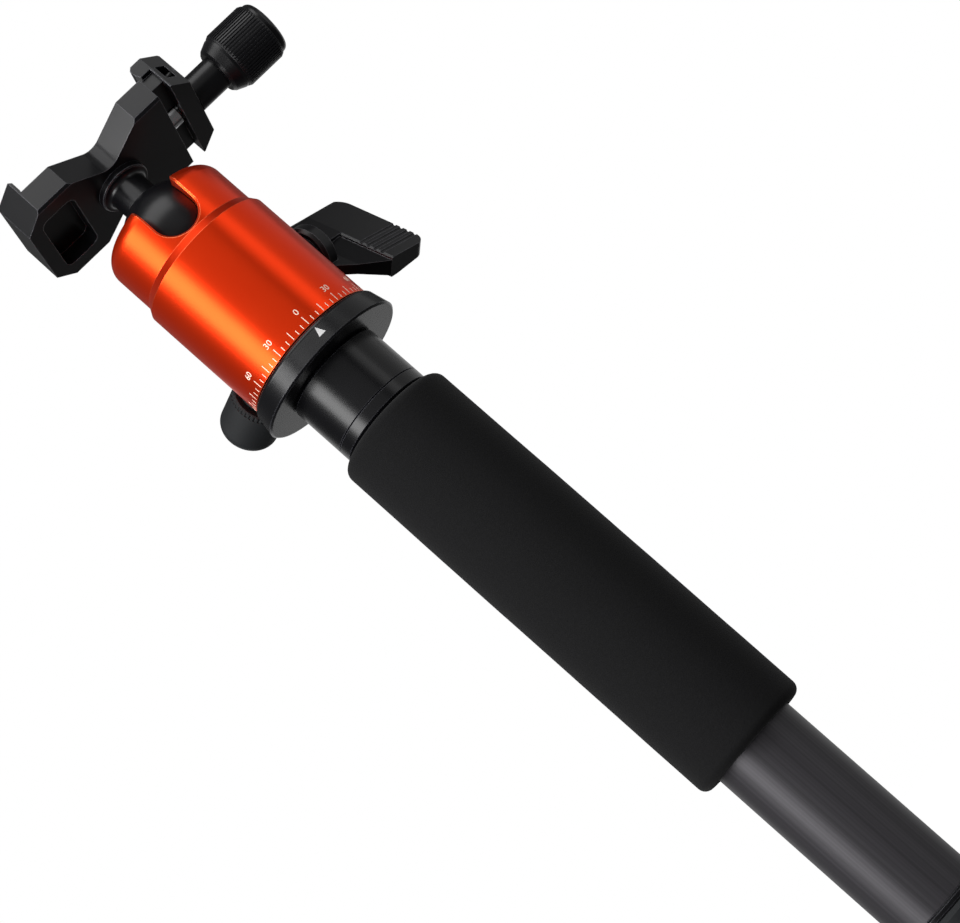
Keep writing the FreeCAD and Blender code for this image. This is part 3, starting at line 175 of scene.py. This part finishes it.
softbox("left_light", -153.0, 10.0, 1.1, 0.55, 1.2, 20.0)
softbox("right_light", -4.0, 8.0, 1.1, 1.4, 1.2, 2.4)
softbox("side_light", -40.0, 8.0, 1.2, 0.4, 1.2, 1.8)
softbox("front_light", -92.0, 18.0, 1.3, 1.3, 1.3, 2.0)
softbox("top_light", -92.0, 58.0, 1.1, 1.1, 0.7, 8.0)
softbox("back_light", 76.0, 0.0, 1.3, 3.6, 0.8, 5.5)


# Housing of the ball: turned from aluminium bar, finely blasted and anodised in orange. The blasting
# leaves a satin face, and a paler orange painted along the sharp edges stands in for their highlight.
BLAST_GRAIN = 0.35 * MM         # the real grit marks are about 0.05 mm, drawn coarser so that they show
EDGE_SOFTNESS = 0.18 * MM
EDGE_HIGHLIGHT_WIDTH = 0.3 * MM           # of the painted highlight along a sharp edge


def soft_edges(tree, shader, place, grain, height, radius=EDGE_SOFTNESS):
    """Rounds the edges a little in the light and adds the fine grain of the surface."""
    rounded = add(tree, "ShaderNodeBevel", {"samples": 4, "Radius": radius})
    grit = add(tree, "ShaderNodeTexNoise", {"Scale": 1.0 / grain, "Detail": 2.0}, {"Vector": place})
    bump = add(tree, "ShaderNodeBump", {"Distance": height, "Strength": 0.5},
               {"Height": grit.outputs[0], "Normal": rounded.outputs[0]})
    tree.links.new(bump.outputs[0], shader.inputs["Normal"])
    return grit


def pale_edges(tree, radius, low, high):
    """Runs from 0 on a flat face to 1 on a sharp edge: the mask of a painted edge highlight."""
    rounded = add(tree, "ShaderNodeBevel", {"samples": 4, "Radius": radius})
    face = add(tree, "ShaderNodeNewGeometry")
    turn = add(tree, "ShaderNodeVectorMath", {"operation": "DOT_PRODUCT"},
               {0: rounded.outputs[0], 1: face.outputs["Normal"]})
    return add(tree, "ShaderNodeMapRange", {1: high, 2: low, 3: 0.0, 4: 1.0}, {0: turn.outputs["Value"]})


orange_anodised, tree, shader, place = new_finish("orange_anodised_aluminium", Metallic=0.85, Roughness=0.3,
                                                   Specular_IOR_Level=0.2)
soft_edges(tree, shader, place, BLAST_GRAIN, 0.004 * MM)
dye = mottled(tree, place, 60.0, 3.0, "#EE3C10", "#E8350D")
# Painted highlight: a paler orange along the sharp edges stands in for the light they catch.
lit_edge_mask = pale_edges(tree, EDGE_HIGHLIGHT_WIDTH, 0.9, 0.995)
highlighted_colour = add(tree, "ShaderNodeMix", {"data_type": "RGBA", 7: linear("#F58A5C")},
           {0: lit_edge_mask.outputs[0], 6: dye})
tree.links.new(highlighted_colour.outputs[2], shader.inputs["Base Color"])
nodes["ball_housing"].data.materials.clear()
nodes["ball_housing"].data.materials.append(orange_anodised)


# Angle scale: printed in cream on the housing's lower edge, a tick every 5 degrees and longer ones every
# 15 all round, with a number every 30 up to 60 on each side of the zero at the front.
housing_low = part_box("ball_housing")[0].z
HOUSING_RADIUS = 20.4 * MM
SCALE_ZERO = math.radians(-87)
TICK_WIDTH = 0.2 * MM
TICK_START = 0.3 * MM
SHORT_TICK = 1.65 * MM
LONG_TICK = 2.85 * MM
DIGIT_LOW = 3.95 * MM
DIGIT_SIZE = 2.4 * MM           # gives digits 1.7 mm high
PRINT_PROUD = 0.03 * MM
INK_SPECKLE = 3000.0
TICK_EVERY = 5                  # degrees
LONG_EVERY = 15
NUMBERED = (-60, -30, 0, 30, 60)

cream_print, tree, shader, place = new_finish("cream_print", Roughness=0.55)
tree.links.new(mottled(tree, place, INK_SPECKLE, 2.0, "#F8DCC4", "#FBE9D8"), shader.inputs["Base Color"])


def wrap(verts, radius_at, azimuth, height):
    """Bends flat print round the head: x goes round it, y up it and z out of it."""
    for vert in verts:
        z = height + vert.co.y
        radius = radius_at(z)
        angle = azimuth + vert.co.x / radius
        vert.co = Vector((math.cos(angle), math.sin(angle), 0)) * (radius + vert.co.z) + Vector((0, 0, z))


def housing_radius(z):
    return HOUSING_RADIUS


bm = bmesh.new()
for degrees in range(0, 360, TICK_EVERY):
    length = LONG_TICK if degrees % LONG_EVERY == 0 else SHORT_TICK
    tick = bmesh.ops.create_cube(bm, size=1.0)["verts"]
    bmesh.ops.scale(bm, vec=(TICK_WIDTH, length - TICK_START, 2 * PRINT_PROUD), verts=tick)
    wrap(tick, housing_radius, SCALE_ZERO + math.radians(degrees), housing_low + (TICK_START + length) / 2)
for degrees in NUMBERED:
    text = bpy.data.curves.new("digits", "FONT")
    text.body = str(abs(degrees))
    text.align_x = "CENTER"
    text.size = DIGIT_SIZE
    text.extrude = PRINT_PROUD
    text.resolution_u = 3
    holder = bpy.data.objects.new("digits", text)
    bpy.context.scene.collection.objects.link(holder)
    flat = bpy.data.meshes.new_from_object(holder)
    number = bmesh.new()
    number.from_mesh(flat)
    bmesh.ops.remove_doubles(number, verts=number.verts, dist=0.0005 * MM)
    wrap(number.verts, housing_radius, SCALE_ZERO + math.radians(degrees), housing_low + DIGIT_LOW)
    number.to_mesh(flat)
    number.free()
    bm.from_mesh(flat)
    bpy.data.objects.remove(holder)
    bpy.data.meshes.remove(flat)
pan_scale = make_piece("pan_scale", bm, cream_print, "head")


# Pointer of the scale: a small triangle under the scale's zero, printed in light grey on the base
# flange's cone.
FLANGE_HEIGHT = 6.8 * MM
flange_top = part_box("base_flange")[0].z + FLANGE_HEIGHT
POINTER_TOP = 1.3 * MM          # its apex under the flange's top
POINTER_LOW = 4.1 * MM
POINTER_WIDTH = 2.2 * MM
CONE_TOP_RADIUS = 21.5 * MM
CONE_SLOPE = 1.0 / 4.9
CONE_START = 1.4 * MM

grey_print, tree, shader, place = new_finish("light_grey_print", Roughness=0.5)
tree.links.new(mottled(tree, place, INK_SPECKLE, 2.0, "#BFBFBF", "#CCCCCC"), shader.inputs["Base Color"])


def flange_radius(z):
    return CONE_TOP_RADIUS + max(0.0, flange_top - z - CONE_START) * CONE_SLOPE


bm = bmesh.new()
bmesh.ops.create_circle(bm, cap_ends=True, segments=3, radius=1.0)
bmesh.ops.scale(bm, vec=(POINTER_WIDTH / math.sqrt(3), (POINTER_LOW - POINTER_TOP) / 1.5, 1),
                verts=bm.verts)
bmesh.ops.translate(bm, vec=(0, 0, -PRINT_PROUD), verts=bm.verts)
raised = bmesh.ops.extrude_face_region(bm, geom=bm.faces[:])["geom"]
bmesh.ops.translate(bm, vec=(0, 0, 2 * PRINT_PROUD),
                    verts=[g for g in raised if isinstance(g, bmesh.types.BMVert)])
bmesh.ops.subdivide_edges(bm, edges=bm.edges[:], cuts=1)
bmesh.ops.recalc_face_normals(bm, faces=bm.faces[:])
wrap(bm.verts, flange_radius, SCALE_ZERO, flange_top - POINTER_TOP - (POINTER_LOW - POINTER_TOP) * 2 / 3)
pointer = make_piece("scale_pointer", bm, grey_print, "upper_leg")


# Black anodised pieces: the base flange, neck and collar under the head, the threaded sleeves of the leg,
# the lock lever, the ball with its stem, and the clamp with its pins. Turned or milled, with a hard skin.
def black_anodised(name, roughness, dark, light, edge_highlight_tone, grain_height, softness=EDGE_SOFTNESS):
    """Black anodised aluminium with a given polish and a painted highlight along its sharp edges."""
    material, tree, shader, place = new_finish(name, Roughness=roughness, Specular_IOR_Level=0.3)
    grit = soft_edges(tree, shader, place, BLAST_GRAIN, grain_height, softness)
    skin = mottled(tree, place, 90.0, 3.0, dark, light)
    # Painted highlight: a paler tone along the sharp edges stands in for the light they catch.
    lit_edge_mask = pale_edges(tree, EDGE_HIGHLIGHT_WIDTH, 0.88, 0.99)
    highlighted_colour = add(tree, "ShaderNodeMix", {"data_type": "RGBA", 7: linear(edge_highlight_tone)},
               {0: lit_edge_mask.outputs[0], 6: skin})
    tree.links.new(highlighted_colour.outputs[2], shader.inputs["Base Color"])
    polish = add(tree, "ShaderNodeMapRange", {3: roughness - 0.03, 4: roughness + 0.04},
                 {0: grit.outputs[0]})
    tree.links.new(polish.outputs[0], shader.inputs["Roughness"])
    return material


# The fifth colour of each is the tone of the painted edge highlight.
satin_black = black_anodised("black_anodised_satin", 0.29, "#08080A", "#0D0D10", "#6C6C72", 0.002 * MM,
                             0.3 * MM)
knurled_black = black_anodised("black_anodised_knurled", 0.3, "#08080A", "#0D0D10", "#1A1A1D", 0.001 * MM,
                               0.08 * MM)
polished_black = black_anodised("black_anodised_polished", 0.27, "#060608", "#0A0A0D", "#46464C",
                                0.001 * MM)


def dress(material, *names):
    """Gives CAD nodes a material."""
    for name in names:
        mesh = nodes[name].data
        mesh.materials.clear()
        mesh.materials.append(material)


dress(polished_black, "base_flange", "neck_adapter", "leg_collar",
      *["thread_sleeve_%d" % k for k in range(1, 5)])
dress(satin_black, "guide_pins", "lock_lever", "lever_spacer", "ball", "ball_stem", "clamp_body",
      "clamp_jaw")
dress(knurled_black, "clamp_knob", "knob_cap")


# Steel pieces: the screws, the stud, the washer and the bush of the clamp's screw. They are turned from
# stainless steel and left bright.
bright_steel, tree, shader, place = new_finish("turned_stainless_steel", Metallic=1.0, Roughness=0.25)
soft_edges(tree, shader, place, 0.2 * MM, 0.002 * MM, 0.1 * MM)
tree.links.new(mottled(tree, place, 400.0, 2.0, "#C8C8CA", "#D8D8DA"), shader.inputs["Base Color"])
dress(bright_steel, "screw_bush", "clamp_screw", "clamp_bolt", "lock_screw", "pan_screw",
      "retaining_screw", "retaining_washer", "mounting_stud")


# Hidden aluminium pieces: the block that presses the ball's seat, and the plug in the foot. They are
# machined and left plain.
plain_aluminium, tree, shader, place = new_finish("machined_aluminium", Metallic=1.0, Roughness=0.4)
soft_edges(tree, shader, place, 0.2 * MM, 0.002 * MM, 0.1 * MM)
tree.links.new(mottled(tree, place, 300.0, 2.0, "#B4B4B6", "#C4C4C6"), shader.inputs["Base Color"])
dress(plain_aluminium, "thrust_block", "foot_plug")


# Plastic pieces: the knob of the base's lock, the lock bodies, seats, bushes and collets, moulded in black
# nylon. The mould's fine spark texture makes them matt.
moulded_nylon, tree, shader, place = new_finish("moulded_black_nylon", Roughness=0.6,
                                                Specular_IOR_Level=0.3)
soft_edges(tree, shader, place, 0.3 * MM, 0.01 * MM)
tree.links.new(mottled(tree, place, 200.0, 2.0, "#131517", "#191B1D"), shader.inputs["Base Color"])
dress(moulded_nylon, "pan_knob", "pan_bearing", "brake_pad", "lower_seat",
      *["twist_lock_%d" % k for k in range(1, 5)], *["collet_%d" % k for k in range(1, 5)],
      *["guide_bush_%d" % k for k in range(2, 6)])


# Leg tubes: five drawn aluminium tubes, anodised dark grey, one inside the other. Drawing leaves faint
# lines along them.
DRAW_LINE = 0.6 * MM            # the real lines are finer, drawn wider so that they show
tube_anodised, tree, shader, place = new_finish("drawn_tube_grey_anodised", Metallic=0.4, Roughness=0.45,
                                                  Specular_IOR_Level=0.3)
along = add(tree, "ShaderNodeMapping", {"Scale": (1 / DRAW_LINE, 1 / DRAW_LINE, 4.0)}, {"Vector": place})
lines = add(tree, "ShaderNodeTexNoise", {"Scale": 1.0, "Detail": 3.0}, {"Vector": along.outputs[0]})
grey = add(tree, "ShaderNodeMix", {"data_type": "RGBA", 6: linear("#272628"), 7: linear("#434145")},
           {0: lines.outputs[0]})
tree.links.new(grey.outputs[2], shader.inputs["Base Color"])
bump = add(tree, "ShaderNodeBump", {"Distance": 0.004 * MM, "Strength": 0.6}, {"Height": lines.outputs[0]})
tree.links.new(bump.outputs[0], shader.inputs["Normal"])
dress(tube_anodised, *["leg_tube_%d" % k for k in range(1, 6)])


# Rubber pieces: grip rings of the twist locks and the foot, moulded in black rubber, matt with a faint
# bloom.
moulded_rubber, tree, shader, place = new_finish("moulded_black_rubber", Roughness=0.75)
soft_edges(tree, shader, place, 0.25 * MM, 0.015 * MM)
tree.links.new(mottled(tree, place, 150.0, 3.0, "#19191A", "#252526"), shader.inputs["Base Color"])
dress(moulded_rubber, "rubber_foot", *["lock_grip_ring_%d" % k for k in range(1, 5)])


# Foam grip: a sleeve of closed-cell foam pushed over the first tube, ground to size and rounded at both
# ends. Grinding opens the cells, so it is matt and finely pitted, and it swells a hair between its ends.
foam_low, foam_high = (corner.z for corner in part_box("foam_grip"))
foam_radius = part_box("foam_grip")[1].x
tube_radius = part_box("leg_tube_1")[1].x
FOAM_ROUNDING = 2.5 * MM
FOAM_FIT = 0.1 * MM
FOAM_SWELL = 0.15 * MM
FOAM_LIP = 1 * MM               # flat ring at each end of the bore
FOAM_RIPPLE = 0.05 * MM         # unevenness left by the grinding
RIPPLE_SCALE = 90
RIPPLE_SINK = 0.6               # keeps the ripple under the sleeve's full size
FOAM_ROWS = 60
FOAM_STEPS = 128
CELL = 0.45 * MM

closed_cell_foam, tree, shader, place = new_finish("ground_closed_cell_foam", Roughness=0.92,
                                                   Specular_IOR_Level=0.15)
shader.inputs["Sheen Weight"].default_value = 0.04
shader.inputs["Sheen Roughness"].default_value = 0.5
cells = add(tree, "ShaderNodeTexVoronoi", {"Scale": 1 / CELL}, {"Vector": place})
fine = add(tree, "ShaderNodeTexNoise", {"Scale": 1 / (0.8 * MM), "Detail": 4.0}, {"Vector": place})
pits = add(tree, "ShaderNodeMath", {"operation": "ADD"}, {0: cells.outputs["Distance"], 1: fine.outputs[0]})
bump = add(tree, "ShaderNodeBump", {"Distance": 0.05 * MM, "Strength": 0.6}, {"Height": pits.outputs[0]})
tree.links.new(bump.outputs[0], shader.inputs["Normal"])
shade = add(tree, "ShaderNodeMix", {"data_type": "RGBA", 6: linear("#0A0A0B"), 7: linear("#131314")},
            {0: fine.outputs[0]})
tree.links.new(shade.outputs[2], shader.inputs["Base Color"])

bm = bmesh.new()
outline = [(tube_radius + FOAM_FIT, foam_low), (tube_radius + FOAM_FIT + FOAM_LIP, foam_low)]
bend = [math.radians(-90 + 15 * k) for k in range(7)]
corner = foam_radius - FOAM_ROUNDING
outline += [(corner + FOAM_ROUNDING * math.cos(a), foam_low + FOAM_ROUNDING + FOAM_ROUNDING * math.sin(a))
            for a in bend]
straight = foam_high - foam_low - 2 * FOAM_ROUNDING
outline += [(foam_radius, foam_low + FOAM_ROUNDING + straight * k / FOAM_ROWS) for k in range(1, FOAM_ROWS)]
outline += [(corner + FOAM_ROUNDING * math.cos(a), foam_high - FOAM_ROUNDING - FOAM_ROUNDING * math.sin(a))
            for a in reversed(bend)]
outline += [(tube_radius + FOAM_FIT + FOAM_LIP, foam_high), (tube_radius + FOAM_FIT, foam_high)]
rim = [bm.verts.new((radius, 0, z)) for radius, z in outline]
line = [bm.edges.new(pair) for pair in zip(rim, rim[1:] + rim[:1])]
bmesh.ops.spin(bm, geom=rim + line, cent=(0, 0, 0), axis=(0, 0, 1), angle=math.tau, steps=FOAM_STEPS,
               use_merge=True)
bmesh.ops.recalc_face_normals(bm, faces=bm.faces[:])
for vert in bm.verts:
    reach = math.hypot(vert.co.x, vert.co.y)
    if reach > corner:
        share = (vert.co.z - foam_low) / (foam_high - foam_low)
        swell = -FOAM_SWELL * (1 - math.sin(math.pi * share)) * 0.5
        swell += FOAM_RIPPLE * (noise.noise(vert.co * RIPPLE_SCALE) - RIPPLE_SINK)
        grow = 1 + swell / reach
        vert.co.x *= grow
        vert.co.y *= grow
for face in bm.faces:
    face.smooth = True
foam = make_piece("foam_sleeve", bm, closed_cell_foam, "upper_leg")
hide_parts("foam_grip")
